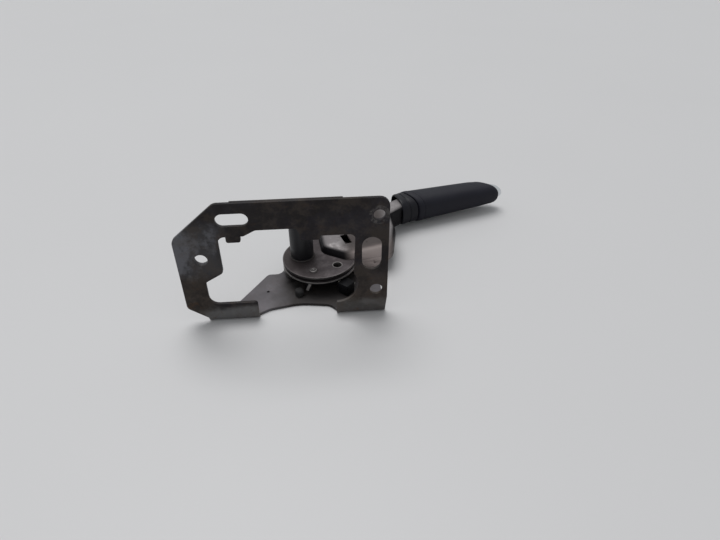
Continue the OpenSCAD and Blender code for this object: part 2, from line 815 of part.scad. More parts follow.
module switch_plunger() {
  reach = switch_r - switch_w / 2 - tab_out - clear;
  depth = plunger_bore - plunger_travel - 0.5;
  color([0.75, 0.72, 0.65]) on_switch() translate([-switch_w / 2 - reach, 0, plunger_z]) rotate([0, 90, 0]) {
    cylinder(r1 = plunger_r - 0.6, r2 = plunger_r, h = 0.6);
    translate([0, 0, 0.6]) cylinder(r = plunger_r, h = reach + depth - 0.6);
  }
}

module switch_terminal() {
  color([0.75, 0.7, 0.5]) on_switch() translate([-2.4, switch_w / 2, sheet_t + 4]) cube([4.8, 6, 0.8]);
}

module stop_buffer() {
  back = unit([stop_tab_at[1], -stop_tab_at[0]]);
  place = stop_tab_at + (stop_tab_w / 2 + clear + buffer_d / 2 + 0.8) * back;
  color([0.08, 0.08, 0.08]) at(place, sheet_t) {
    cylinder(d = buffer_d, h = buffer_h - 1.5);
    translate([0, 0, buffer_h - 1.5]) cylinder(d1 = buffer_d, d2 = buffer_d - 3, h = 1.5);
  }
}

mounting_bracket();
pivot_stud();
pivot_washer();
lock_nut();
ratchet_sector();
sector_rivets();
stop_buffer();
switch_body();
switch_terminal();
switch_plunger();
upper_shell();
lower_shell();
quadrant_core();
quadrant_rivets();
pivot_sleeve();
lower_bush();
upper_bush();
handle_tube();
grip_collar();
grip();
spring_seat();
button_spring();
pawl_pin();
pawl_spring();
pawl();
push_button();
release_rod();
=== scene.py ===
import json
import math

import bmesh
import bpy
from mathutils import Matrix, Vector


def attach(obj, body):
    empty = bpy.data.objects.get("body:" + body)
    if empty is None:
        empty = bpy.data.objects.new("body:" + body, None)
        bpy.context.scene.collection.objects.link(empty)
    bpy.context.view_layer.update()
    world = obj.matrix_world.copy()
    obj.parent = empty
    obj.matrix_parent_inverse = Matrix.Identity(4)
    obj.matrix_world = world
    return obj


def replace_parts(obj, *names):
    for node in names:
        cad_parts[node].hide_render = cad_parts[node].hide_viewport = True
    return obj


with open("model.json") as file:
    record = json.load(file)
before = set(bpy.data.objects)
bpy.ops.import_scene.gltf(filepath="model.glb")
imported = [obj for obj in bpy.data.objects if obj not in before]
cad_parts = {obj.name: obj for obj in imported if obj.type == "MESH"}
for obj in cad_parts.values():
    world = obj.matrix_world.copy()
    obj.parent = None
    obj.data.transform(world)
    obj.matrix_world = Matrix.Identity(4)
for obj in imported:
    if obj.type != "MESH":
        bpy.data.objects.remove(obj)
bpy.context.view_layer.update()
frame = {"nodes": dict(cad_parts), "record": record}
mm = 0.001
nodeBody = {n: b for b, ns in frame["record"]["behaviour"]["bodies"].items() for n in ns}
nodeSlot = {s["node"]: s["material_slot"] for s in frame["record"]["subparts"]}
scene = bpy.context.scene
scene.view_settings.view_transform = "Standard"
print("frame loaded:", len(frame["nodes"]), "nodes")


# camera and light

cameraSet = {
    "place": (0.0192, -0.4679, 0.350),
    "forward": (0.0708, 0.7992, -0.5970),
    "right": (0.9961, -0.0883, 0.0),
    "lens": 27.05,  # 541 px on a 720 px frame
}


def addCamera(s):
    data = bpy.data.cameras.new("camera")
    data.lens = s["lens"]
    data.sensor_width = 36.0
    data.sensor_fit = "HORIZONTAL"
    data.clip_start = 0.01
    cam = bpy.data.objects.new("camera", data)
    scene.collection.objects.link(cam)
    forward = Vector(s["forward"]).normalized()
    right = Vector(s["right"]).normalized()
    up = right.cross(forward)
    turn = Matrix((right, up, -forward)).transposed()
    cam.matrix_world = Matrix.Translation(s["place"]) @ turn.to_4x4()
    scene.camera = cam


addCamera(cameraSet)

lightSet = {
    "key": {"place": (-0.32, 1.05, 2.80), "aim": (0.04, 0.0, 0.03), "spread": 40.0, "power": 1.72},
    "fill": {"place": (-0.9, -0.5, 1.2), "aim": (0.05, 0.0, 0.05), "size": 1.4, "power": 1.2},
    "sky": 0.41,
    "surround": 0.56,
    "skyColour": (0.95, 0.98, 1.0),
    "floor": (0.605, 0.60, 0.605),
}


def addLamp(name, s):
    if "spread" in s:
        data = bpy.data.lights.new(name, "SUN")
        data.angle = math.radians(s["spread"])
    else:
        data = bpy.data.lights.new(name, "AREA")
        data.shape = "DISK"
        data.size = s["size"]
    data.energy = s["power"]
    lamp = bpy.data.objects.new(name, data)
    scene.collection.objects.link(lamp)
    lamp.location = s["place"]
    aim = Vector(s["aim"]) - Vector(s["place"])
    lamp.rotation_euler = aim.to_track_quat("-Z", "Y").to_euler()


for lampName in ("key", "fill"):
    addLamp(lampName, lightSet[lampName])


# shader tools

def newGroup(name, inputs, outputs):
    tree = bpy.data.node_groups.new(name, "ShaderNodeTree")
    for label, kind, value in inputs:
        s = tree.interface.new_socket(label, in_out="INPUT", socket_type=kind)
        s.default_value = value
    for label, kind in outputs:
        tree.interface.new_socket(label, in_out="OUTPUT", socket_type=kind)
    return tree, tree.nodes.new("NodeGroupInput"), tree.nodes.new("NodeGroupOutput")


class Wires:  # short ways to place and join shader nodes
    def __init__(self, tree):
        self.tree = tree

    def node(self, kind, **sets):
        n = self.tree.nodes.new(kind)
        for key, value in sets.items():
            setattr(n, key, value)
        return n

    def join(self, a, b):
        self.tree.links.new(a, b)

    def put(self, socket, value):
        if isinstance(value, bpy.types.NodeSocket):
            self.join(value, socket)
        elif value is not None:
            socket.default_value = value

    def coords(self):
        return self.node("ShaderNodeTexCoord").outputs["Object"]

    def axes(self):
        parts = self.node("ShaderNodeSeparateXYZ")
        self.join(self.coords(), parts.inputs[0])
        return parts.outputs

    def noise(self, vector, scale, detail=4.0, rough=0.55, warp=0.0):
        n = self.node("ShaderNodeTexNoise")
        self.put(n.inputs["Vector"], vector)
        self.put(n.inputs["Scale"], scale)
        n.inputs["Detail"].default_value = detail
        n.inputs["Roughness"].default_value = rough
        n.inputs["Distortion"].default_value = warp
        return n.outputs["Fac"]

    def cells(self, vector, scale, feature="F1", smooth=None):
        n = self.node("ShaderNodeTexVoronoi", feature=feature)
        self.put(n.inputs["Vector"], vector)
        self.put(n.inputs["Scale"], scale)
        if smooth is not None:
            n.inputs["Smoothness"].default_value = smooth
        return n.outputs["Distance"]

    def math(self, kind, a, b=None, c=None, clamp=False):
        n = self.node("ShaderNodeMath", operation=kind, use_clamp=clamp)
        for socket, value in zip(n.inputs, (a, b, c)):
            self.put(socket, value)
        return n.outputs[0]

    def span(self, value, low, high, to=(0.0, 1.0)):
        n = self.node("ShaderNodeMapRange", interpolation_type="SMOOTHSTEP")
        self.put(n.inputs["Value"], value)
        self.put(n.inputs["From Min"], low)
        self.put(n.inputs["From Max"], high)
        n.inputs["To Min"].default_value = to[0]
        n.inputs["To Max"].default_value = to[1]
        return n.outputs["Result"]

    def mix(self, fac, a, b):
        n = self.node("ShaderNodeMix", data_type="RGBA")
        self.put(n.inputs[0], fac)
        for socket, value in ((n.inputs[6], a), (n.inputs[7], b)):
            self.put(socket, (*value, 1) if isinstance(value, tuple) and len(value) == 3 else value)
        return n.outputs[2]

    def group(self, tree, **values):
        n = self.node("ShaderNodeGroup", node_tree=tree)
        for key, value in values.items():
            self.put(n.inputs[key], value)
        return n

    def bump(self, height, strength, distance):
        n = self.node("ShaderNodeBump")
        n.inputs["Strength"].default_value = strength
        n.inputs["Distance"].default_value = distance
        self.join(height, n.inputs["Height"])
        return n.outputs["Normal"]


def startMaterial(name):
    m = bpy.data.materials.new(name)
    m.use_nodes = True
    m.node_tree.nodes.clear()
    w = Wires(m.node_tree)
    out = w.node("ShaderNodeOutputMaterial")
    skin = w.node("ShaderNodeBsdfPrincipled")
    w.join(skin.outputs["BSDF"], out.inputs["Surface"])
    return m, w, skin.inputs


def addSky(s):
    world = bpy.data.worlds.new("studio")
    scene.world = world
    world.use_nodes = True
    w = Wires(world.node_tree)
    back = world.node_tree.nodes["Background"]
    back.inputs["Color"].default_value = (*s["skyColour"], 1)
    path = w.node("ShaderNodeLightPath")
    seen = w.math("MAXIMUM", path.outputs["Is Camera Ray"], path.outputs["Is Glossy Ray"])
    seen = w.math("MAXIMUM", seen, path.outputs["Is Transmission Ray"])
    level = w.math("MULTIPLY_ADD", seen, s["surround"] - s["sky"], s["sky"])
    w.join(level, back.inputs["Strength"])


addSky(lightSet)


# patches of dirt, cloudy and broken up at two sizes
def makePatchGroup():
    tree, gi, go = newGroup(
        "patches",
        [("Scale", "NodeSocketFloat", 30.0), ("Cover", "NodeSocketFloat", 0.5),
         ("Soft", "NodeSocketFloat", 0.1), ("Seed", "NodeSocketFloat", 0.0)],
        [("Mask", "NodeSocketFloat"), ("Grain", "NodeSocketFloat")])
    w = Wires(tree)
    shift = w.node("ShaderNodeVectorMath", operation="ADD")
    w.join(w.coords(), shift.inputs[0])
    w.join(gi.outputs["Seed"], shift.inputs[1])
    big = w.noise(shift.outputs[0], gi.outputs["Scale"], 6.0, 0.62, 0.4)
    small = w.noise(shift.outputs[0], w.math("MULTIPLY", gi.outputs["Scale"], 7.0), 3.0, 0.6)
    both = w.math("ADD", w.math("MULTIPLY", big, 0.75), w.math("MULTIPLY", small, 0.25))
    level = w.math("SUBTRACT", 1.0, gi.outputs["Cover"])
    low = w.math("SUBTRACT", level, gi.outputs["Soft"])
    high = w.math("ADD", level, gi.outputs["Soft"])
    w.join(w.span(both, low, high), go.inputs["Mask"])
    w.join(small, go.inputs["Grain"])
    return tree


# bare or rubbed metal on the rounded edges, from the edge attribute of the mesh
def makeEdgeGroup():
    tree, gi, go = newGroup(
        "rubbedEdges",
        [("Scale", "NodeSocketFloat", 150.0), ("Amount", "NodeSocketFloat", 0.5)],
        [("Mask", "NodeSocketFloat")])
    w = Wires(tree)
    edge = w.node("ShaderNodeAttribute", attribute_name="rub")
    broken = w.noise(w.coords(), gi.outputs["Scale"], 4.0, 0.6)
    level = w.math("SUBTRACT", 1.0, gi.outputs["Amount"])
    worn = w.span(broken, w.math("SUBTRACT", level, 0.1), w.math("ADD", level, 0.1))
    w.join(w.math("MULTIPLY", edge.outputs["Fac"], worn), go.inputs["Mask"])
    return tree


# fine drawn lines along one direction
def makeDrawnGroup():
    tree, gi, go = newGroup(
        "drawnLines",
        [("Along", "NodeSocketVector", (1.0, 1.0, 1.0)), ("Scale", "NodeSocketFloat", 400.0)],
        [("Lines", "NodeSocketFloat")])
    w = Wires(tree)
    stretch = w.node("ShaderNodeVectorMath", operation="MULTIPLY")
    w.join(w.coords(), stretch.inputs[0])
    w.join(gi.outputs["Along"], stretch.inputs[1])
    w.join(w.noise(stretch.outputs[0], gi.outputs["Scale"], 3.0, 0.6), go.inputs["Lines"])
    return tree


# small pebbles and creases
def makeGrainGroup():
    tree, gi, go = newGroup(
        "pebbleGrain",
        [("Scale", "NodeSocketFloat", 900.0), ("Crease", "NodeSocketFloat", 0.5)],
        [("Height", "NodeSocketFloat"), ("Tone", "NodeSocketFloat")])
    w = Wires(tree)
    at = w.coords()
    bend = w.node("ShaderNodeVectorMath", operation="ADD")
    n = w.node("ShaderNodeTexNoise")
    w.join(at, n.inputs["Vector"])
    n.inputs["Scale"].default_value = 220.0
    small = w.node("ShaderNodeVectorMath", operation="SCALE")
    w.join(n.outputs["Color"], small.inputs[0])
    small.inputs["Scale"].default_value = 0.0012
    w.join(at, bend.inputs[0])
    w.join(small.outputs[0], bend.inputs[1])
    pebble = w.cells(bend.outputs[0], gi.outputs["Scale"], "SMOOTH_F1", 0.35)
    crack = w.cells(bend.outputs[0], w.math("MULTIPLY", gi.outputs["Scale"], 0.45), "DISTANCE_TO_EDGE")
    crease = w.math("MULTIPLY", w.span(crack, 0.0, 0.12), gi.outputs["Crease"])
    dome = w.math("SUBTRACT", 1.0, pebble)
    w.join(w.math("ADD", dome, crease), go.inputs["Height"])
    w.join(w.noise(at, 60.0, 4.0, 0.6), go.inputs["Tone"])
    return tree


patchGroup = makePatchGroup()
edgeGroup = makeEdgeGroup()
drawnGroup = makeDrawnGroup()
grainGroup = makeGrainGroup()
print("shader groups built")


# materials

bracketFinish = {
    "plate": (0.130, 0.119, 0.127),
    # the upright plate's front: dark oil and painted shade
    "frontOilAndShade": (0.0150, 0.0122, 0.0150),
    "wing": (0.142, 0.143, 0.157),
    "foot": (0.190, 0.187, 0.186),
    # tone of old grease, also used for the painted shadow under the ratchet
    "greaseAndShadow": (0.017, 0.0145, 0.0135),
    "dirt": (0.086, 0.068, 0.054),
    "rust": (0.090, 0.046, 0.022),
    "bare": (0.300, 0.292, 0.290),
    "imprint": (71.5, 110.5, 6.0, 9.5),  # where a bolt's washer sat: x, z, inner and outer radius in mm
    "back": (-65.0, -62.0),  # from the base plate to what is behind it, along Y in mm
    "rustHeights": (0.0, 60.0),  # rust thins from the feet upwards, in mm
}

# parts of the bracket with a tone set apart, one of them a painted shadow: edges along each axis and
# softness, in mm
bracketZones = {
    "wing": ({"X": (-118, -66), "Z": (52, 108)}, 9),
    "wingLow": ({"X": (-118, -84), "Z": (-20, 52)}, 10),
    "leftFoot": ({"X": (-98, -20), "Y": (-80, -52), "Z": (-12, 18)}, 5),
    "rightFoot": ({"X": (20, 90), "Y": (-80, -52), "Z": (-12, 16)}, 5),
    "rightEnd": ({"X": (28, 100), "Z": (-20, 52)}, 12),
    "paintedShadow": ({"X": (-24, 62), "Y": (-90, 50)}, 15),  # painted shadow on the side plate, under the ratchet
}


def boxMask(w, at, edges, soft):
    mask = None
    for axis, (low, high) in edges.items():
        here = w.math("MULTIPLY", w.span(at[axis], (low - soft) * mm, (low + soft) * mm),
                      w.span(at[axis], (high - soft) * mm, (high + soft) * mm, (1.0, 0.0)))
        mask = here if mask is None else w.math("MULTIPLY", mask, here)
    return mask


ringSoft = (0.4, 0.6)  # how far a ring's inner and outer edges fade, in mm


def ringMask(w, at, ring, plane):
    inner, outer = ring[2:]
    inside, outside = ringSoft
    a, b = (w.math("SUBTRACT", at[axis], middle * mm) for axis, middle in zip(plane, ring))
    r = w.math("SQRT", w.math("ADD", w.math("MULTIPLY", a, a), w.math("MULTIPLY", b, b)))
    within = w.span(r, (outer - outside) * mm, outer * mm, (1.0, 0.0))
    return w.math("MULTIPLY", w.span(r, (inner - inside) * mm, inner * mm), within)


def warpedPlace(w, amount):  # object coordinates pushed about a little, so that no zone has a straight edge
    n = w.node("ShaderNodeTexNoise")
    w.join(w.coords(), n.inputs["Vector"])
    n.inputs["Scale"].default_value = 38.0
    n.inputs["Detail"].default_value = 5.0
    shift = w.node("ShaderNodeVectorMath", operation="MULTIPLY_ADD")
    w.join(n.outputs["Color"], shift.inputs[0])
    shift.inputs[1].default_value = (amount, amount, amount)
    w.join(w.coords(), shift.inputs[2])
    parts = w.node("ShaderNodeSeparateXYZ")
    centre = w.node("ShaderNodeVectorMath", operation="SUBTRACT")
    w.join(shift.outputs[0], centre.inputs[0])
    centre.inputs[1].default_value = (amount / 2, amount / 2, amount / 2)
    w.join(centre.outputs[0], parts.inputs[0])
    return parts.outputs


def makeBracketSteel(f, zones):
    m, w, skin = startMaterial("bracket_steel")
    cloud = w.group(patchGroup, Scale=24.0, Cover=0.50, Soft=0.16, Seed=3.1)
    greaseAndShadow = w.group(patchGroup, Scale=34.0, Cover=0.52, Soft=0.08, Seed=7.7)
    dirt = w.group(patchGroup, Scale=60.0, Cover=0.47, Soft=0.08, Seed=1.3)
    rust = w.group(patchGroup, Scale=85.0, Cover=0.40, Soft=0.05, Seed=9.2)
    edge = w.group(edgeGroup, Scale=190.0, Amount=0.64)
    exact = w.axes()
    plate, behind = f["back"]
    upright = w.span(exact["Y"], plate * mm, behind * mm, (1.0, 0.0))
    at = warpedPlace(w, 0.030)
    zone = {name: boxMask(w, at, edges, soft) for name, (edges, soft) in zones.items()}
    foot = w.math("MAXIMUM", zone["leftFoot"], w.math("MULTIPLY", zone["rightFoot"], 0.6))

    tone = w.mix(w.math("MULTIPLY", cloud.outputs["Mask"], 0.45), f["plate"], f["wing"])
    front = w.mix(w.math("MULTIPLY", cloud.outputs["Mask"], 0.12), f["frontOilAndShade"], f["wing"])
    ends = (("wing", 0.85, "wing"), ("wingLow", 0.60, "dirt"), ("rightEnd", 0.45, "dirt"))
    for name, share, colour in ends:
        here = w.math("MULTIPLY", zone[name], upright)
        front = w.mix(w.math("MULTIPLY", here, share), front, f[colour])
    front = w.mix(w.math("MULTIPLY", foot, 0.75), front, f["foot"])
    imprint = w.math("MULTIPLY", ringMask(w, exact, f["imprint"], "XZ"), dirt.outputs["Mask"])
    front = w.mix(w.math("MULTIPLY", imprint, 0.5), front, f["foot"])
    # the upright plate's front is far darker than the side plate: partly oily grime, partly painted shade
    tone = w.mix(upright, tone, front)
    greasy = w.math("MULTIPLY", greaseAndShadow.outputs["Mask"], w.math("ADD", 0.18, w.math("MULTIPLY", upright, 0.5)))
    greasy = w.math("MULTIPLY", greasy, w.math("SUBTRACT", 1.0, w.math("MULTIPLY", foot, 0.75)))
    tone = w.mix(greasy, tone, f["greaseAndShadow"])
    # painted shadow of the lever's head on the side plate, in the tone of old grease
    paintedShadow = w.math("MULTIPLY", zone["paintedShadow"], w.math("SUBTRACT", 1.0, upright))
    tone = w.mix(w.math("MULTIPLY", paintedShadow, 0.90), tone, f["greaseAndShadow"])
    dirty = w.math("MULTIPLY", dirt.outputs["Mask"], w.math("ADD", 0.12, w.math("MULTIPLY", upright, 0.18)))
    tone = w.mix(dirty, tone, f["dirt"])
    bottom, top = f["rustHeights"]
    low = w.span(exact["Z"], bottom * mm, top * mm, (1.0, 0.2))
    rusty = w.math("MULTIPLY", rust.outputs["Mask"], w.math("MULTIPLY", upright, low))
    tone = w.mix(w.math("MULTIPLY", rusty, 0.55), tone, f["rust"])
    tone = w.mix(w.math("MULTIPLY", edge.outputs["Mask"], 0.8), tone, f["bare"])
    w.join(tone, skin["Base Color"])
    soil = w.math("MAXIMUM", dirty, rusty)
    w.join(w.math("SUBTRACT", 0.22, w.math("MULTIPLY", soil, 0.22), clamp=True), skin["Metallic"])
    skin["Specular IOR Level"].default_value = 0.13
    rough = w.math("ADD", 0.44, w.math("MULTIPLY", dirt.outputs["Grain"], 0.16))
    rough = w.math("ADD", rough, w.math("MULTIPLY", soil, 0.3))
    rough = w.math("SUBTRACT", rough, w.math("MULTIPLY", greasy, 0.14))
    w.join(rough, skin["Roughness"])
    lumps = w.math("ADD", w.math("MULTIPLY", soil, 0.6), w.math("MULTIPLY", dirt.outputs["Grain"], 0.4))
    w.join(w.bump(lumps, 0.35, 0.0005), skin["Normal"])
    return m


# on the shells: painted highlight on the raised tops and the arm's near flank, painted shade on faces turned
# from up, grime and painted shade round the sleeve, and rims worn bright and partly painted
def addShellLightAndWear(w, f, tone, film, lines):
    at = w.axes()
    # grime and painted shade round the sleeve, in the dark spot tone, thinning along X
    first, last = f["grimeAndShadeAlong"]
    grimeAndShade = w.span(at["X"], first * mm, last * mm, (f["grimeAndShade"], 0.0))
    tone = w.mix(grimeAndShade, tone, f["spot"])
    # painted highlight on the raised tops
    brightTone = w.mix(w.math("MULTIPLY", film, 0.5), f["topHighlight"], f["metal"])
    brightTone = w.mix(boxMask(w, at, {"X": f["dullAlong"]}, 9), brightTone, f["dull"])
    low, high = f["topHighlightFrom"]
    tone = w.mix(w.span(at["Z"], low * mm, high * mm), tone, brightTone)

    # painted shade on faces turned from up, with a painted highlight on the near flank
    up = w.node("ShaderNodeAttribute", attribute_name="up")
    steep, level = f["flankShadingFrom"]
    near = boxMask(w, at, {"X": f["nearAlong"], "Y": f["nearAcross"]}, 8)
    flankShading = w.mix(near, f["flankShading"], f["nearFlankHighlight"])
    tone = w.mix(w.span(up.outputs["Fac"], steep, level, (1.0, 0.0)), tone, flankShading)

    bright = w.math("ADD", 0.08, w.math("MULTIPLY", lines, 0.8))
    # rims worn bright by the cable, partly a painted highlight
    for ring, heights, share in f["rims"]:
        rim = w.math("MULTIPLY", ringMask(w, at, ring, "XY"), boxMask(w, at, {"Z": heights}, 0.4))
        tone = w.mix(w.math("MULTIPLY", w.math("MULTIPLY", rim, bright), share), tone, f["edge"])
    # painted highlight on the stop tab's leaning edge
    lean = w.math("SUBTRACT", at["X"], w.math("MULTIPLY", at["Z"], f["stopLean"]))
    stop = boxMask(w, {"X": lean, "Y": at["Y"], "Z": at["Z"]}, f["stopHighlight"], 0.5)
    return w.mix(stop, tone, f["edge"])


def makeWornMetal(name, f):
    m, w, skin = startMaterial(name)
    film = w.group(patchGroup, Scale=f["size"], Cover=f["cover"], Soft=0.10, Seed=f["seed"])
    spot = w.group(patchGroup, Scale=f["size"] * 2.6, Cover=f["spots"], Soft=0.05, Seed=f["seed"] + 4.0)
    edge = w.group(edgeGroup, Scale=260.0, Amount=f.get("worn", 0.6))
    lines = w.group(drawnGroup, Along=f["along"], Scale=420.0)
    tone = w.mix(film.outputs["Mask"], f["metal"], f["film"])
    if "topHighlight" in f:
        tone = addShellLightAndWear(w, f, tone, film.outputs["Mask"], lines.outputs["Lines"])
    tone = w.mix(w.math("MULTIPLY", spot.outputs["Mask"], 0.8), tone, f["spot"])
    tone = w.mix(w.math("MULTIPLY", edge.outputs["Mask"], f["shine"]), tone, f["edge"])
    w.join(tone, skin["Base Color"])
    soil = w.math("MULTIPLY", spot.outputs["Mask"], 0.8)
    w.join(w.math("SUBTRACT", f["metallic"], w.math("MULTIPLY", soil, f["metallic"])), skin["Metallic"])
    rough = w.math("ADD", f["rough"], w.math("MULTIPLY", film.outputs["Mask"], 0.14))
    rough = w.math("ADD", rough, w.math("MULTIPLY", w.math("SUBTRACT", lines.outputs["Lines"], 0.5), 0.18))
    rough = w.math("ADD", rough, w.math("MULTIPLY", soil, 0.25))
    w.join(rough, skin["Roughness"])
    height = w.math("ADD", w.math("MULTIPLY", lines.outputs["Lines"], 0.3), w.math("MULTIPLY", soil, 0.7))
    w.join(w.bump(height, f["bump"], 0.0004), skin["Normal"])
    skin["Specular IOR Level"].default_value = f.get("gloss", 0.5)
    return m


headRim = (17.7, -3.7, 37.0, 39.0)  # x, y, inner and outer radius in mm
nippleRim = (35.6, -20.4, 4.2, 5.5)
shellFinish = {
    "metal": (0.080, 0.069, 0.072), "film": (0.049, 0.041, 0.043), "spot": (0.028, 0.021, 0.020),
    "grimeAndShade": 0.62, "grimeAndShadeAlong": (-14.0, 34.0),  # old grease and painted shade round the sleeve, thinning along X, in mm
    "topHighlight": (0.300, 0.280, 0.281), "topHighlightFrom": (26.0, 31.0),  # painted highlight on the raised tops, from these heights in mm
    "flankShading": (0.0065, 0.0055, 0.0070), "flankShadingFrom": (0.66, 0.985),  # painted shade on faces turned from up, by how far a face looks up
    "dull": (0.060, 0.050, 0.048), "dullAlong": (43.0, 93.0),  # the top keeps a darker tone here in place of the painted highlight, along X, in mm
    # painted highlight on the arm's near flank and wall, along X and across Y, in mm
    "nearFlankHighlight": (0.430, 0.365, 0.347), "nearAlong": (50.0, 93.0), "nearAcross": (-40.0, 20.0),
    # rims worn bright by the cable and its nipple and partly a painted highlight, with their heights in mm
    # and strength
    "rims": [(headRim, (17.1, 19.0), 1.2), (headRim, (21.0, 25.5), 0.2), (nippleRim, (21.0, 25.5), 1.0)],
    # painted highlight on the stop tab's edge, which leans: place less lean times height, in mm
    "stopLean": 0.4, "stopHighlight": {"X": (-0.4, 2.4), "Y": (-46.0, -33.0), "Z": (4.0, 15.6)}, "gloss": 0.18,
    "edge": (0.36, 0.34, 0.33), "size": 42.0, "cover": 0.52, "spots": 0.34, "seed": 2.0, "shine": 0.8,
    "worn": 0.72, "along": (0.25, 1.0, 1.0), "metallic": 0.40, "rough": 0.42, "bump": 0.22,
}
zincFinish = {
    "metal": (0.40, 0.39, 0.37), "film": (0.24, 0.225, 0.205), "spot": (0.085, 0.050, 0.030),
    "edge": (0.58, 0.57, 0.55), "size": 90.0, "cover": 0.50, "spots": 0.38, "seed": 5.0, "shine": 0.6,
    "along": (1.0, 1.0, 0.2), "metallic": 0.85, "rough": 0.38, "bump": 0.15,
}
hardFinish = {
    "metal": (0.15, 0.142, 0.138), "film": (0.075, 0.068, 0.064), "spot": (0.035, 0.025, 0.018),
    "edge": (0.42, 0.40, 0.39), "size": 80.0, "cover": 0.52, "spots": 0.38, "seed": 8.0, "shine": 0.8,
    "along": (1.0, 0.3, 1.0), "metallic": 0.75, "rough": 0.38, "bump": 0.18,
}
rivetFinish = {
    "metal": (0.10, 0.090, 0.090), "film": (0.060, 0.052, 0.052), "spot": (0.040, 0.029, 0.022),
    "edge": (0.24, 0.225, 0.22), "size": 160.0, "cover": 0.5, "spots": 0.36, "seed": 11.0, "shine": 0.6,
    "along": (1.0, 1.0, 1.0), "metallic": 0.7, "rough": 0.36, "bump": 0.2,
}
blackFinish = {
    "metal": (0.0065, 0.0065, 0.0085), "film": (0.0110, 0.0105, 0.0125), "spot": (0.030, 0.025, 0.020),
    "edge": (0.075, 0.074, 0.078), "size": 60.0, "cover": 0.45, "spots": 0.34, "seed": 14.0, "shine": 0.6,
    "along": (1.0, 1.0, 0.15), "metallic": 0.1, "rough": 0.42, "bump": 0.15,
}
bushFinish = {
    "metal": (0.36, 0.25, 0.125), "film": (0.20, 0.14, 0.075), "spot": (0.07, 0.045, 0.024),
    "edge": (0.52, 0.39, 0.21), "size": 110.0, "cover": 0.5, "spots": 0.36, "seed": 17.0, "shine": 0.6,
    "along": (1.0, 1.0, 0.4), "metallic": 0.85, "rough": 0.42, "bump": 0.2,
}
tinFinish = {
    "metal": (0.16, 0.155, 0.145), "film": (0.09, 0.085, 0.078), "spot": (0.05, 0.036, 0.026),
    "edge": (0.30, 0.29, 0.27), "size": 200.0, "cover": 0.5, "spots": 0.38, "seed": 23.0, "shine": 0.6,
    "along": (1.0, 1.0, 1.0), "metallic": 0.8, "rough": 0.42, "bump": 0.15,
}
springFinish = {
    "metal": (0.30, 0.30, 0.31), "film": (0.18, 0.175, 0.175), "spot": (0.07, 0.045, 0.028),
    "edge": (0.4, 0.4, 0.4), "size": 150.0, "cover": 0.45, "spots": 0.32, "seed": 20.0, "shine": 0.5,
    "along": (0.4, 1.0, 1.0), "metallic": 0.9, "rough": 0.32, "bump": 0.1,
}
weldFinish = {
    "metal": (0.070, 0.064, 0.062), "film": (0.040, 0.036, 0.034), "spot": (0.055, 0.034, 0.022),
    "edge": (0.2, 0.2, 0.2), "size": 140.0, "cover": 0.5, "spots": 0.42, "seed": 26.0, "shine": 0.3,
    "along": (1.0, 1.0, 1.0), "metallic": 0.6, "rough": 0.46, "bump": 0.25,
}


def makeMoulded(name, f):
    m, w, skin = startMaterial(name)
    dust = w.group(patchGroup, Scale=f["size"], Cover=0.46, Soft=0.12, Seed=f["seed"])
    grain = w.group(grainGroup, Scale=f["grain"], Crease=f["crease"])
    edge = w.group(edgeGroup, Scale=300.0, Amount=0.6)
    tone = w.mix(grain.outputs["Tone"], f["dark"], f["light"])
    tone = w.mix(w.math("MULTIPLY", dust.outputs["Mask"], f["dusty"]), tone, f["dust"])
    tone = w.mix(w.math("MULTIPLY", edge.outputs["Mask"], f["shine"]), tone, f["edge"])
    w.join(tone, skin["Base Color"])
    rough = w.math("ADD", f["rough"], w.math("MULTIPLY", dust.outputs["Mask"], 0.12))
    w.join(rough, skin["Roughness"])
    w.join(w.bump(grain.outputs["Height"], f["bump"], f["depth"]), skin["Normal"])
    skin["Specular IOR Level"].default_value = f["gloss"]
    return m


gripFinish = {
    "dark": (0.0046, 0.0046, 0.0096), "light": (0.0082, 0.0082, 0.0152), "dust": (0.022, 0.022, 0.031),
    "edge": (0.02, 0.02, 0.026), "size": 38.0, "seed": 6.0, "grain": 1100.0, "crease": 0.6, "dusty": 0.22,
    "shine": 0.2, "rough": 0.52, "bump": 0.30, "depth": 0.0002, "gloss": 0.26,
}
collarFinish = {
    "dark": (0.0040, 0.0040, 0.0070), "light": (0.0070, 0.0070, 0.0115), "dust": (0.030, 0.028, 0.030),
    "edge": (0.05, 0.05, 0.056), "size": 70.0, "seed": 12.0, "grain": 2200.0, "crease": 0.2, "dusty": 0.14,
    "shine": 0.5, "rough": 0.40, "bump": 0.12, "depth": 0.0001, "gloss": 0.22,
}
switchFinish = {
    "dark": (0.0030, 0.0030, 0.0040), "light": (0.0055, 0.0055, 0.0065), "dust": (0.016, 0.014, 0.014),
    "edge": (0.03, 0.03, 0.034), "size": 120.0, "seed": 15.0, "grain": 2600.0, "crease": 0.1, "dusty": 0.12,
    "shine": 0.25, "rough": 0.50, "bump": 0.1, "depth": 0.0001, "gloss": 0.1,
}
plungerFinish = {
    "dark": (0.26, 0.245, 0.21), "light": (0.36, 0.345, 0.30), "dust": (0.10, 0.08, 0.06),
    "edge": (0.42, 0.40, 0.36), "size": 300.0, "seed": 18.0, "grain": 2600.0, "crease": 0.1, "dusty": 0.4,
    "shine": 0.3, "rough": 0.40, "bump": 0.1, "depth": 0.0001, "gloss": 0.5,
}
rubberFinish = {
    "dark": (0.010, 0.0095, 0.010), "light": (0.018, 0.017, 0.018), "dust": (0.045, 0.041, 0.041),
    "edge": (0.02, 0.02, 0.02), "size": 160.0, "seed": 21.0, "grain": 1800.0, "crease": 0.3, "dusty": 0.5,
    "shine": 0.3, "rough": 0.72, "bump": 0.2, "depth": 0.0002, "gloss": 0.3,
}
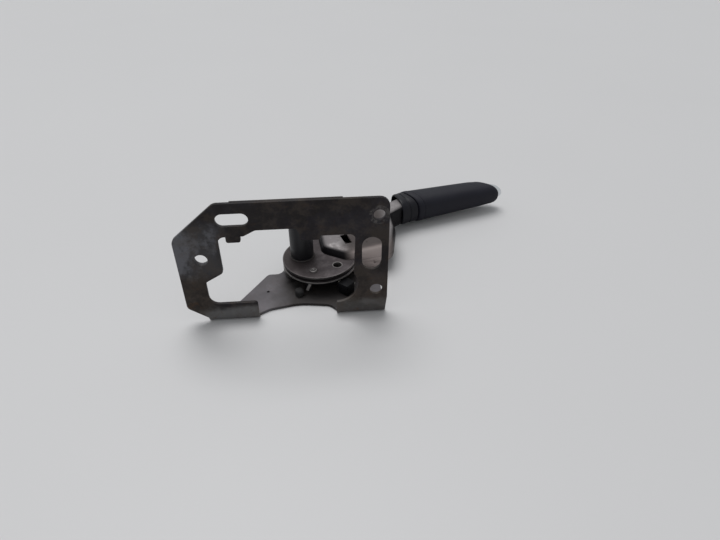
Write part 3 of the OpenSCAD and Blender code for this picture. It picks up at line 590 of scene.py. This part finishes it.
threadFinish = {
    "dark": (0.012, 0.012, 0.016), "light": (0.022, 0.022, 0.028), "dust": (0.05, 0.05, 0.055),
    "edge": (0.03, 0.03, 0.035), "size": 200.0, "seed": 24.0, "grain": 3000.0, "crease": 0.3, "dusty": 0.2,
    "shine": 0.2, "rough": 0.6, "bump": 0.2, "depth": 0.0001, "gloss": 0.35,
}


chromeFinish = {
    "brightTone": (0.74, 0.76, 0.78), "filmed": (0.54, 0.55, 0.56), "film": 0.4, "rough": 0.09, "filmRough": 0.16,
}


def makeChrome(f):
    m, w, skin = startMaterial("button_chrome")
    film = w.group(patchGroup, Scale=120.0, Cover=0.45, Soft=0.12, Seed=2.5).outputs["Mask"]
    w.join(w.mix(w.math("MULTIPLY", film, f["film"]), f["brightTone"], f["filmed"]), skin["Base Color"])
    skin["Metallic"].default_value = 1.0
    w.join(w.math("ADD", f["rough"], w.math("MULTIPLY", film, f["filmRough"])), skin["Roughness"])
    return m


finishes = {
    "bracket_steel": makeBracketSteel(bracketFinish, bracketZones),
    "shell_steel": makeWornMetal("shell_steel", shellFinish),
    "zinc_steel": makeWornMetal("zinc_steel", zincFinish),
    "hard_steel": makeWornMetal("hard_steel", hardFinish),
    "rivet_steel": makeWornMetal("rivet_steel", rivetFinish),
    "black_steel": makeWornMetal("black_steel", blackFinish),
    "bush_brass": makeWornMetal("bush_brass", bushFinish),
    "terminal_brass": makeWornMetal("terminal_brass", tinFinish),
    "weld_bead": makeWornMetal("weld_bead", weldFinish),
    "grip_thread": makeMoulded("grip_thread", threadFinish),
    "spring_steel": makeWornMetal("spring_steel", springFinish),
    "grip_leather": makeMoulded("grip_leather", gripFinish),
    "collar_plastic": makeMoulded("collar_plastic", collarFinish),
    "switch_plastic": makeMoulded("switch_plastic", switchFinish),
    "plunger_plastic": makeMoulded("plunger_plastic", plungerFinish),
    "stop_rubber": makeMoulded("stop_rubber", rubberFinish),
    "button_chrome": makeChrome(chromeFinish),
}
print("materials built:", len(finishes))


# pieces from the CAD nodes, with rounded edges

# edge radius in mm, the fold angle in degrees above which an edge is rounded, and steps across the edge
edgeSet = {
    "mounting_bracket": (0.65, 40, 2), "upper_shell": (0.4, 42, 2), "lower_shell": (0.4, 42, 2),
    "pivot_stud": (0.3, 40, 2), "pivot_washer": (0.3, 40, 2), "lock_nut": (0.35, 25, 2),
    "ratchet_sector": (0.25, 40, 2), "sector_rivets": (0.2, 40, 2), "stop_buffer": (2.4, 30, 6),
    "switch_body": (0.35, 40, 2), "switch_terminal": (0.12, 40, 2), "switch_plunger": (0.15, 40, 2),
    "quadrant_core": (0.2, 40, 2), "quadrant_rivets": (0.35, 30, 2), "pivot_sleeve": (0.5, 40, 2),
    "lower_bush": (0.2, 40, 2), "upper_bush": (0.2, 40, 2), "handle_tube": (0.3, 40, 2),
    "spring_seat": (0.2, 40, 2), "pawl_pin": (0.25, 40, 2), "pawl": (0.2, 35, 2),
    "push_button": (1.2, 35, 4), "release_rod": (0.3, 40, 2),
}


# points nearer than this join, in mm; flatter folds vanish and steeper ones shade sharp, in degrees
meshSet = {"join": 0.002, "flat": 0.6, "sharp": 38, "sharpSkin": 50}


def roundedCopy(node, radius, fold, segments):
    mesh = frame["nodes"][node].data.copy()
    bm = bmesh.new()
    bm.from_mesh(mesh)
    bmesh.ops.remove_doubles(bm, verts=bm.verts, dist=meshSet["join"] * mm)
    bmesh.ops.dissolve_limit(bm, angle_limit=math.radians(meshSet["flat"]), verts=bm.verts, edges=bm.edges)
    rub = bm.faces.layers.float.new("rub")
    sharp = [e for e in bm.edges if len(e.link_faces) == 2 and e.calc_face_angle(0) > math.radians(fold)]
    made = bmesh.ops.bevel(bm, geom=sharp, offset=radius * mm, segments=segments, profile=0.5,
                           affect="EDGES", clamp_overlap=True, offset_type="OFFSET")
    for face in made["faces"]:
        face[rub] = 1.0
    for face in bm.faces:
        face.smooth = True
    bmesh.ops.triangulate(bm, faces=[f for f in bm.faces if len(f.verts) > 4])
    bm.to_mesh(mesh)
    bm.free()
    mesh.set_sharp_from_angle(angle=math.radians(meshSet["sharp"]))
    # how far each face looks up, which the shells' painted flank shade reads
    up = mesh.attributes.new("up", "FLOAT", "CORNER")
    up.data.foreach_set("value", [n.vector.z for n in mesh.corner_normals])
    piece = bpy.data.objects.new(node + "_piece", mesh)
    scene.collection.objects.link(piece)
    return piece


def dress(piece, node):
    slotName = nodeSlot[node]
    piece.data.materials.clear()
    piece.data.materials.append(finishes[slotName])
    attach(piece, nodeBody[node])
    return piece


for node, (radius, fold, segments) in edgeSet.items():
    piece = dress(roundedCopy(node, radius, fold, segments), node)
    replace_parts(piece, node)
print("rounded pieces:", len(edgeSet))

for node in ("button_spring", "pawl_spring"):
    shown = frame["nodes"][node]
    shown.data.materials.clear()
    shown.data.materials.append(finishes[nodeSlot[node]])


# grip and collar, wound round the handle's own axis

handleSet = {"bend": (129.778, 97.795, 20.0), "angle": 15.0}
handleFrame = (Matrix.Translation(Vector(handleSet["bend"]) * mm)
               @ Matrix.Rotation(math.radians(handleSet["angle"]), 4, "Z"))


def ovalRing(place, slant, halfW, halfH, power, angles, dents=None, side=0.0):
    ring = []
    for i, a in enumerate(angles):
        c, s = math.cos(a), math.sin(a)
        y = halfW * math.copysign(abs(c) ** (2 / power), c)
        z = halfH * math.copysign(abs(s) ** (2 / power), s)
        if dents:
            shrink = 1 - dents[i] / math.hypot(y, z)
            y, z = y * shrink, z * shrink
        y += side
        ring.append(handleFrame @ (Vector((place + slant * y, y, z)) * mm))
    return ring


def skinRings(name, rings):  # the last ring joins the first, so the skin is closed
    bm = bmesh.new()
    rows = [[bm.verts.new(p) for p in ring] for ring in rings]
    count = len(rows[0])
    for i, row in enumerate(rows):
        after = rows[(i + 1) % len(rows)]
        for j in range(count):
            k = (j + 1) % count
            bm.faces.new((row[j], after[j], after[k], row[k]))
    bmesh.ops.recalc_face_normals(bm, faces=bm.faces)
    if bm.calc_volume(signed=True) < 0:
        bmesh.ops.reverse_faces(bm, faces=bm.faces)
    for face in bm.faces:
        face.smooth = True
    mesh = bpy.data.meshes.new(name)
    bm.to_mesh(mesh)
    bm.free()
    mesh.set_sharp_from_angle(angle=math.radians(meshSet["sharpSkin"]))
    piece = bpy.data.objects.new(name, mesh)
    scene.collection.objects.link(piece)
    return piece


def ease(value, low, high):
    t = min(max((value - low) / (high - low), 0.0), 1.0)
    return t * t * (3 - 2 * t)


def spread(low, high, count):
    return [low + (high - low) * i / count for i in range(count)]


gripSet = {
    "front": (19.35, 16.9), "tail": (15.6, 13.65),  # half sizes across and up, in mm
    "tailAt": 106.6, "power": 2.6, "frontEdge": (3.0, 1.8), "tailEdge": 8.0,
    "from": -2.0, "tailTrim": 0.5, "tailTrimFrom": 84.6,
    "slants": [(-2, -0.36), (3, -0.36), (34, -0.2), (66.6, 0), (84.6, -0.2), (98.6, -0.6), (103.1, -0.78),
               (106.6, -0.85)],
    "easing": 0.35,  # share of the slant that changes gently
    "hem": (5.5, 0.55, 0.5),  # place of its seam, depth and half width
    "hemReach": 1.6, "hemSwell": 0.22, "swellRise": 1.5, "swellFall": (0.6, 0.2),
    "seam": (-48.0, 0.55, 0.55, 12.0, 92.0),  # angle, depth, half width, from, to
    "seamFade": (2.0, 4.0),
    "frontGap": 0.4, "steps": (5, 16, 70),  # rings before, over and after the hem
    "bore": 9.3, "boreEnd": 85.6, "stemBore": 6.5, "tubeEnd": 83.6, "tubeBore": 8.92,
    "boreSlope": 6.0, "tubeSlope": 12.0, "tubeInset": 0.3,  # where the bores' ends change their lean, in mm
    "rim": 0.5, "rimSteps": ((0.15, 0.1), (0.36, 0.3), (0.5, 0.8)),  # inset and depth of the softened rim
    "points": 150,
}


def slantAt(place):
    table = gripSet["slants"]
    for (a, sa), (b, sb) in zip(table, table[1:]):
        if place <= b:
            even = (place - a) / (b - a)
            return sa + (sb - sa) * (even + gripSet["easing"] * (ease(place, a, b) - even))
    return table[-1][1]


def gripHalf(place):
    share = place / gripSet["tailAt"]
    return [a + share * (b - a) for a, b in zip(gripSet["front"], gripSet["tail"])]


def tailTrim(place):
    return gripSet["tailTrim"] * ease(place, gripSet["tailTrimFrom"], gripSet["tailAt"] - gripSet["tailEdge"])


def seamDents(place, angles):
    middle, depth, width, first, last = gripSet["seam"]
    fadeIn, fadeOut = gripSet["seamFade"]
    strength = depth * ease(place, first - fadeIn, first) * (1 - ease(place, last, last + fadeOut))
    reach = sum(gripHalf(place)) / 2
    dents = []
    for a in angles:
        off = math.degrees(a) - middle
        off = (off + 180) % 360 - 180
        dents.append(strength * math.exp(-(math.radians(off) * reach / width) ** 2))
    return dents


def gripAngles():  # evenly round the oval, with more points beside the seam
    middle = gripSet["seam"][0]
    angles = [360 * i / gripSet["points"] for i in range(gripSet["points"])]
    angles = [a for a in angles if abs((a - middle + 180) % 360 - 180) > 6]
    angles += [(middle + d) % 360 for d in (-5, -3.8, -2.8, -2, -1.3, -0.7, 0, 0.7, 1.3, 2, 2.8, 3.8, 5)]
    return [math.radians(a) for a in sorted(angles)]


def makeGrip(f):
    angles = gripAngles()
    end = f["tailAt"]
    length, drop = f["frontEdge"]
    rings = []
    for i in range(9):  # rounded front edge
        t = math.radians(90 * i / 8)
        place, trim = f["from"] + length * (1 - math.cos(t)), drop * (1 - math.sin(t))
        w, h = gripHalf(place)
        rings.append(ovalRing(place, slantAt(place), w - trim, h - trim, f["power"], angles))
    hemAt, hemDeep, hemWidth = f["hem"]
    smoothFrom = f["from"] + length
    hemFrom, hemTo = hemAt - f["hemReach"], hemAt + f["hemReach"]
    before, over, after = f["steps"]
    places = spread(smoothFrom + f["frontGap"], hemFrom, before) + spread(hemFrom, hemTo, over)
    places += spread(hemTo, end - f["tailEdge"], after)
    fallFrom, fallTo = hemAt - f["swellFall"][0], hemAt + f["swellFall"][1]
    for place in places:
        w, h = gripHalf(place)
        swell = ease(place, smoothFrom, smoothFrom + f["swellRise"]) * (1 - ease(place, fallFrom, fallTo))
        trim = hemDeep * math.exp(-((place - hemAt) / hemWidth) ** 2) - f["hemSwell"] * swell
        trim += tailTrim(place)
        dents = seamDents(place, angles)
        rings.append(ovalRing(place, slantAt(place), w - trim, h - trim, f["power"], angles, dents))
    mouth = f["bore"] + f["rim"]
    for i in range(17):  # rounded tail, down to the rim of the button's bore
        t = math.radians(90 * i / 16)
        place = end - f["tailEdge"] * (1 - math.sin(t))
        w, h = (v - f["tailTrim"] for v in gripHalf(place))
        part = 1 - math.cos(t)
        w, h = w + (mouth - w) * part, h + (mouth - h) * part
        rings.append(ovalRing(place, slantAt(place), w, h, f["power"] + (2 - f["power"]) * part, angles))
    for inset, deep in f["rimSteps"]:
        r = mouth - inset
        rings.append(ovalRing(end - deep, slantAt(end), r, r, 2, angles))
    bores = (
        (end - f["boreSlope"], slantAt(end), f["bore"]),
        (f["boreEnd"], 0, f["bore"]), (f["boreEnd"], 0, f["stemBore"]),
        (f["tubeEnd"], 0, f["stemBore"]), (f["tubeEnd"], 0, f["tubeBore"]),
        (f["tubeSlope"], 0, f["tubeBore"]),
        (f["from"] + f["tubeInset"], slantAt(f["from"]), f["tubeBore"]),
    )
    for place, slant, r in bores:
        rings.append(ovalRing(place, slant, r, r, 2, angles))
    return skinRings("grip_cover", rings)


collarSet = {
    "half": (18.4, 15.9), "power": 2.6, "points": 120, "slant": -0.36, "shift": -2.0,
    "mouthSlant": 0.0, "mouthSide": -2.4, "mouthFlare": 0.5,
    # place along the handle and how far the outside lies beyond the half size, in mm
    "outside": [(-16.0, -1.25), (-15.85, -0.75), (-15.5, -0.35), (-15.0, -0.1), (-14.4, 0.0), (-9.4, 0.0),
                (-9.0, -0.1), (-8.75, -0.4), (-8.5, -0.7), (-8.1, -0.75), (-7.85, -0.5), (-7.6, -0.15),
                (-7.2, 0.0), (-5.0, 0.1), (-2.4, 0.2), (-1.8, 0.12), (-1.4, -0.1), (-1.12, -0.4),
                (-1.0, -0.8)],
    "wall": 1.6, "mouthAt": -16.0, "floorAt": -4.0, "endAt": -1.0, "tubeBore": 9.7, "tubeSide": -0.5,
}


def makeCollar(f):
    angles = [math.radians(360 * (i + 0.5) / f["points"]) for i in range(f["points"])]
    w, h = f["half"]

    def slantHere(place):
        share = (place - f["endAt"]) / (f["mouthAt"] - f["endAt"])
        return f["slant"] + share * (f["mouthSlant"] - f["slant"])

    def placed(place, halfW, halfH, power, side):
        return ovalRing(place + f["shift"], slantHere(place), halfW, halfH, power, angles, side=side)

    def ring(place, grow):  # the mouth also leans and opens towards the neck
        reach = max(0.0, (f["floorAt"] - place) / (f["floorAt"] - f["mouthAt"]))
        grow += reach * f["mouthFlare"]
        return placed(place, w + grow, h + grow, f["power"], reach * f["mouthSide"])

    rings = [ring(place, grow) for place, grow in f["outside"]]
    for place in (f["endAt"], f["floorAt"]):
        rings.append(placed(place, f["tubeBore"], f["tubeBore"], 2, f["tubeSide"]))
    for place, inset in ((f["floorAt"], 0.0), (f["mouthAt"] + 0.6, 0.0), (f["mouthAt"] + 0.15, 0.1)):
        rings.append(ring(place, inset - f["wall"]))
    return skinRings("collar_ring", rings)


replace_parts(dress(makeGrip(gripSet), "grip"), "grip")
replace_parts(dress(makeCollar(collarSet), "grip_collar"), "grip_collar")
print("grip and collar made")


# wall under the arm's near edge, which the photo shows deeper than the CAD shell
skirtSet = {
    "ends": ((52.6, -9.3), (82.0, -0.6)), "thick": 1.8, "top": 17.2, "bottom": 5.5, "round": 0.6,  # in mm
}


def makeSkirt(f):
    start, end = (Vector((x, y, f["bottom"])) for x, y in f["ends"])
    along, up = end - start, Vector((0, 0, f["top"] - f["bottom"]))
    across = Vector((-along.y, along.x, 0)).normalized() * f["thick"]
    bm = bmesh.new()
    bmesh.ops.create_cube(bm, size=1.0)
    for v in bm.verts:
        x, y, z = v.co
        v.co = (start + along * (x + 0.5) + across * y + up * (z + 0.5)) * mm
    bmesh.ops.bevel(bm, geom=bm.edges, offset=f["round"] * mm, segments=3, profile=0.5, affect="EDGES")
    for face in bm.faces:
        face.smooth = True
    mesh = bpy.data.meshes.new("arm_skirt")
    bm.to_mesh(mesh)
    bm.free()
    mesh.set_sharp_from_angle(angle=math.radians(meshSet["sharp"]))
    piece = bpy.data.objects.new("arm_skirt", mesh)
    scene.collection.objects.link(piece)
    return piece


# the wall has no up attribute, so the shell finish gives it the flank's painted shade and the near flank's
# painted highlight
dress(makeSkirt(skirtSet), "lower_shell")
print("arm wall made")


# weld beads and stitches: one node tree lays drops along a path

def makeDropTree():
    tree = bpy.data.node_groups.new("dropsAlongPath", "GeometryNodeTree")
    face = tree.interface
    face.new_socket("Path", in_out="INPUT", socket_type="NodeSocketGeometry")
    ids = {}
    for label, kind, value in (("Pitch", "NodeSocketFloat", 0.0014), ("Width", "NodeSocketFloat", 0.002),
                               ("Length", "NodeSocketFloat", 0.002), ("Uneven", "NodeSocketFloat", 0.1),
                               ("Seed", "NodeSocketInt", 1), ("Finish", "NodeSocketMaterial", None)):
        socket = face.new_socket(label, in_out="INPUT", socket_type=kind)
        if value is not None:
            socket.default_value = value
        ids[label] = socket.identifier
    face.new_socket("Drops", in_out="OUTPUT", socket_type="NodeSocketGeometry")
    w = Wires(tree)
    gi, go = w.node("NodeGroupInput"), w.node("NodeGroupOutput")
    curve = w.node("GeometryNodeMeshToCurve")
    w.join(gi.outputs["Path"], curve.inputs["Mesh"])
    points = w.node("GeometryNodeCurveToPoints", mode="LENGTH")
    w.join(curve.outputs["Curve"], points.inputs["Curve"])
    w.join(gi.outputs["Pitch"], points.inputs["Length"])
    drop = w.node("GeometryNodeMeshIcoSphere")
    drop.inputs["Radius"].default_value = 0.5
    drop.inputs["Subdivisions"].default_value = 3
    smooth = w.node("GeometryNodeSetShadeSmooth")
    w.join(drop.outputs["Mesh"], smooth.inputs["Geometry"])
    vary = w.node("FunctionNodeRandomValue", data_type="FLOAT")
    w.join(w.math("SUBTRACT", 1.0, gi.outputs["Uneven"]), vary.inputs[2])
    w.join(w.math("ADD", 1.0, gi.outputs["Uneven"]), vary.inputs[3])
    w.join(gi.outputs["Seed"], vary.inputs["Seed"])
    size = w.node("ShaderNodeCombineXYZ")
    w.join(gi.outputs["Width"], size.inputs["X"])
    w.join(gi.outputs["Width"], size.inputs["Y"])
    w.join(gi.outputs["Length"], size.inputs["Z"])
    scale = w.node("ShaderNodeVectorMath", operation="SCALE")
    w.join(size.outputs[0], scale.inputs[0])
    w.join(vary.outputs[1], scale.inputs["Scale"])
    lay = w.node("GeometryNodeInstanceOnPoints")
    w.join(points.outputs["Points"], lay.inputs["Points"])
    w.join(points.outputs["Rotation"], lay.inputs["Rotation"])
    w.join(smooth.outputs["Geometry"], lay.inputs["Instance"])
    w.join(scale.outputs[0], lay.inputs["Scale"])
    real = w.node("GeometryNodeRealizeInstances")
    w.join(lay.outputs["Instances"], real.inputs["Geometry"])
    finish = w.node("GeometryNodeSetMaterial")
    w.join(real.outputs["Geometry"], finish.inputs["Geometry"])
    w.join(gi.outputs["Finish"], finish.inputs["Material"])
    w.join(finish.outputs["Geometry"], go.inputs["Drops"])
    return tree, ids


dropTree, dropInputs = makeDropTree()


def layDrops(name, paths, sizes, finish):
    mesh = bpy.data.meshes.new(name + "_path")
    points, edges = [], []
    for path in paths:
        first = len(points)
        points += [Vector(p) * mm for p in path]
        edges += [(i, i + 1) for i in range(first, len(points) - 1)]
    mesh.from_pydata(points, edges, [])
    line = bpy.data.objects.new(name + "_line", mesh)
    scene.collection.objects.link(line)
    modifier = line.modifiers.new("drops", "NODES")
    modifier.node_group = dropTree
    for label, value in sizes.items():
        modifier[dropInputs[label]] = value
    modifier[dropInputs["Finish"]] = finishes[finish]
    seen = line.evaluated_get(bpy.context.evaluated_depsgraph_get())
    made = bpy.data.meshes.new_from_object(seen)
    made.name = name
    bpy.data.objects.remove(line)
    piece = bpy.data.objects.new(name, made)
    scene.collection.objects.link(piece)
    return piece


def circlePath(s, count=72):
    turns = [math.radians(360 * i / count) for i in range(count + 1)]
    return [(s["r"] * math.cos(turn), s["r"] * math.sin(turn), s["z"]) for turn in turns]


weldSet = {
    "stud": {"r": 14.3, "z": 3.5,
             "Pitch": 1.3 * mm, "Width": 2.3 * mm, "Length": 2.6 * mm, "Uneven": 0.10, "Seed": 3},
    "sleeve": {"r": 12.1, "z": 24.2,
               "Pitch": 1.1 * mm, "Width": 1.7 * mm, "Length": 2.0 * mm, "Uneven": 0.10, "Seed": 5},
    "seam": {"z": 20.0,
             "Pitch": 1.3 * mm, "Width": 2.6 * mm, "Length": 2.4 * mm, "Uneven": 0.12, "Seed": 8},
    # both ends of each short seam weld on the shells, in plan
    "seamEnds": [((80.4, 76.7), (71.3, 70.4)), ((52.0, 57.1), (42.9, 50.8)), ((97.4, 87.1), (105.4, 93.1))],
}


def dropSizes(s):
    return {k: s[k] for k in ("Pitch", "Width", "Length", "Uneven", "Seed")}


def addWeld(name, paths, sizes, body):
    piece = layDrops(name, paths, dropSizes(sizes), "weld_bead")
    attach(piece, body)


seamZ = weldSet["seam"]["z"]
seamPaths = [[(*a, seamZ), (*b, seamZ)] for a, b in weldSet["seamEnds"]]
addWeld("stud_weld", [circlePath(weldSet["stud"])], weldSet["stud"], "bracket")
addWeld("sleeve_weld", [circlePath(weldSet["sleeve"])], weldSet["sleeve"], "lever")
addWeld("seam_welds", seamPaths, weldSet["seam"], "lever")

stitchSet = {
    "rows": (-2.6, 2.6), "depth": 0.25, "step": 4.0,  # rows beside the seam, in mm
    "Pitch": 3.6 * mm, "Width": 0.75 * mm, "Length": 3.0 * mm, "Uneven": 0.03, "Seed": 2,
}


def seamRow(side):
    middle, first, last = gripSet["seam"][0], gripSet["seam"][3], gripSet["seam"][4]
    row, place = [], first
    while place <= last:
        w, h = gripHalf(place)
        turn = math.radians(middle) + side / ((w + h) / 2)
        trim = stitchSet["depth"] + tailTrim(place)
        point = ovalRing(place, slantAt(place), w - trim, h - trim, gripSet["power"], [turn])[0]
        row.append(tuple(point / mm))
        place += stitchSet["step"]
    return row


stitchRows = [seamRow(side) for side in stitchSet["rows"]]
stitches = layDrops("grip_stitches", stitchRows, dropSizes(stitchSet), "grip_thread")
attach(stitches, "lever")
print("welds and stitches laid")


# floor

def addFloor(tone):
    bm = bmesh.new()
    bmesh.ops.create_grid(bm, x_segments=1, y_segments=1, size=5.0)
    mesh = bpy.data.meshes.new("floor")
    bm.to_mesh(mesh)
    bm.free()
    floor = bpy.data.objects.new("floor", mesh)
    scene.collection.objects.link(floor)
    m, w, skin = startMaterial("pale_floor")
    w.join(w.mix(w.noise(w.coords(), 3.0, 2.0), tone, tuple(c * 0.97 for c in tone)), skin["Base Color"])
    skin["Roughness"].default_value = 0.55
    floor.data.materials.append(m)


addFloor(lightSet["floor"])

print("scene ready")
